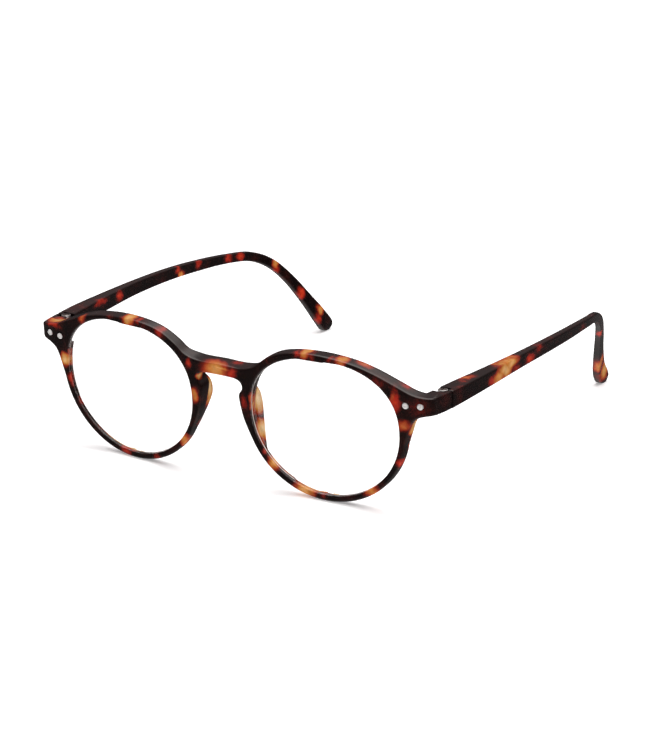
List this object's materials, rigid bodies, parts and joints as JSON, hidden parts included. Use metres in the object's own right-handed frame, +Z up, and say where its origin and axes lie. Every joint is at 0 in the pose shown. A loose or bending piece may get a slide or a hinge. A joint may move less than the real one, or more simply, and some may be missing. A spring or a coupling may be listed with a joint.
{
  "type": "folding reading glasses",
  "caption": "Round reading glasses with a tortoiseshell plastic front, keyhole bridge, moulded nose pads, clear lenses and hinged temples that fold flat behind the front.",
  "frame": {"origin": "centre of the bounding box at its lowest level, between the two temples", "axes": "+Z up, the front faces -Y and the temples run towards +Y, +X is the wearer's left; the temples are open at rest"},
  "size_m": [0.1346, 0.1494, 0.0442],
  "materials": {
    "front": "polished tortoiseshell, dark brown with amber and red patches",
    "temple": "polished tortoiseshell, dark brown with amber and red patches",
    "lens": "clear, polished",
    "hinge": "satin nickel",
    "screw": "bright",
    "rivet": "satin silver"
  },
  "bodies": {
    "front": {"front_frame": "front", "left_lens": "lens", "left_front_leaf": "hinge", "left_hinge_screw": "screw", "left_rivet_1": "rivet", "left_rivet_2": "rivet", "right_lens": "lens", "right_front_leaf": "hinge", "right_hinge_screw": "screw", "right_rivet_1": "rivet", "right_rivet_2": "rivet"},
    "left_arm": {"left_temple": "temple", "left_temple_leaf": "hinge"},
    "right_arm": {"right_temple": "temple", "right_temple_leaf": "hinge"}
  },
  "joints": [
    {"name": "left_hinge", "type": "hinge", "parent": "front", "child": "left_arm", "pos_m": [0.0627, -0.05945, 0.03346], "axis": [0, 0, 1], "range_deg": [0, 88]},
    {"name": "right_hinge", "type": "hinge", "parent": "front", "child": "right_arm", "pos_m": [-0.0627, -0.05945, 0.03346], "axis": [0, 0, -1], "range_deg": [0, 80]}
  ]
}
